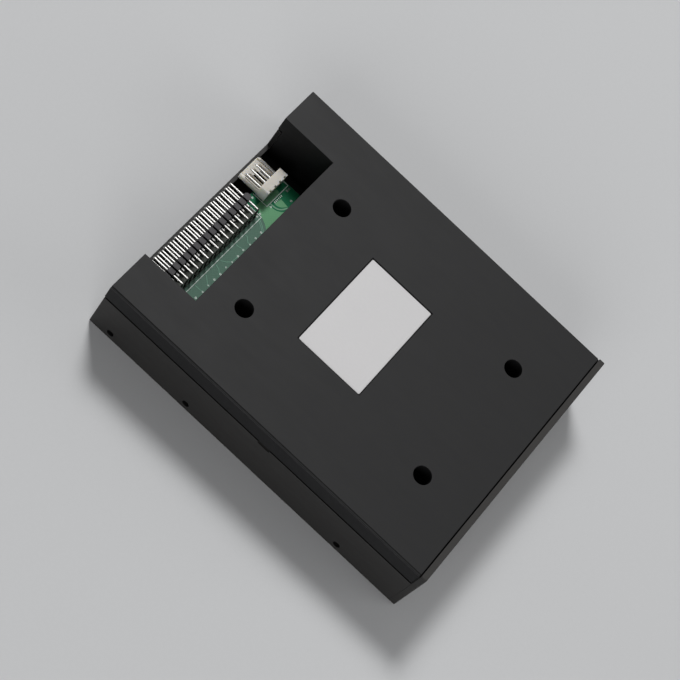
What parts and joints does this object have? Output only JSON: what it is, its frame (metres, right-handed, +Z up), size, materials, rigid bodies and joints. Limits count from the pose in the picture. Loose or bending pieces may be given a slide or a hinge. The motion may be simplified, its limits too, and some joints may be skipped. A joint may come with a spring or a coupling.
{
  "type": "floppy drive emulator",
  "caption": "Flat black drive-size case with a bare top label, screw wells, rear bay with data and power headers, and a front with display, buttons and USB port.",
  "frame": {"origin": "middle of the underside", "axes": "+Z up out of the label side, +Y to the connectors at the rear, -Y out of the front bezel, +X to the right seen from the front"},
  "size_m": [0.1016, 0.127, 0.0254],
  "materials": {
    "tray_black": "fine spark texture",
    "cover_black": "fine spark texture",
    "screw_steel": "black zinc",
    "label_paper": "bare, slightly satin",
    "solder_mask": "green solder mask over glass fibre",
    "header_black": "moulded",
    "pin_tin": "tin plated",
    "ivory_nylon": "moulded",
    "plated_steel": "nickel plated",
    "white_nylon": "moulded",
    "contact_gold": "gold plated",
    "smoked_window": "smoked dark red acrylic",
    "display_black": "moulded",
    "segment_milky": "milky resin",
    "led_green": "tinted resin",
    "switch_black": "moulded",
    "button_black": "satin",
    "chip_black": "moulded epoxy",
    "can_aluminium": "drawn",
    "chip_tan": "matt"
  },
  "bodies": {
    "case": {"base_tray": "tray_black", "top_cover": "cover_black", "cover_screws": "screw_steel", "label": "label_paper", "circuit_board": "solder_mask", "data_header_body": "header_black", "data_header_pins": "pin_tin", "power_header_body": "ivory_nylon", "power_header_pins": "pin_tin", "usb_shell": "plated_steel", "usb_tongue": "white_nylon", "usb_contacts": "contact_gold", "display_window": "smoked_window", "display_block": "display_black", "display_segments": "segment_milky", "display_board": "solder_mask", "display_board_pins": "pin_tin", "activity_led": "led_green", "led_leads": "pin_tin", "switch_housings": "switch_black", "switch_brackets": "plated_steel", "switch_pins": "pin_tin", "switch_domes": "plated_steel", "microcontroller": "chip_black", "microcontroller_leads": "pin_tin", "crystal": "plated_steel", "regulator": "chip_black", "regulator_leads": "pin_tin", "capacitor_cans": "can_aluminium", "capacitor_bases": "chip_black", "chip_resistors": "chip_black", "chip_resistor_ends": "pin_tin", "chip_capacitors": "chip_tan"},
    "button_left": {"button_left_cap": "button_black", "button_left_plunger": "switch_black"},
    "button_right": {"button_right_cap": "button_black", "button_right_plunger": "switch_black"}
  },
  "joints": [
    {"name": "button_left_press", "type": "slide", "parent": "case", "child": "button_left", "axis": [0, 1, 0], "range_m": [0, 0.0003], "stiffness_N_per_m": 4000, "springref_m": -0.0001},
    {"name": "button_right_press", "type": "slide", "parent": "case", "child": "button_right", "axis": [0, 1, 0], "range_m": [0, 0.0003], "stiffness_N_per_m": 4000, "springref_m": -0.0001}
  ]
}
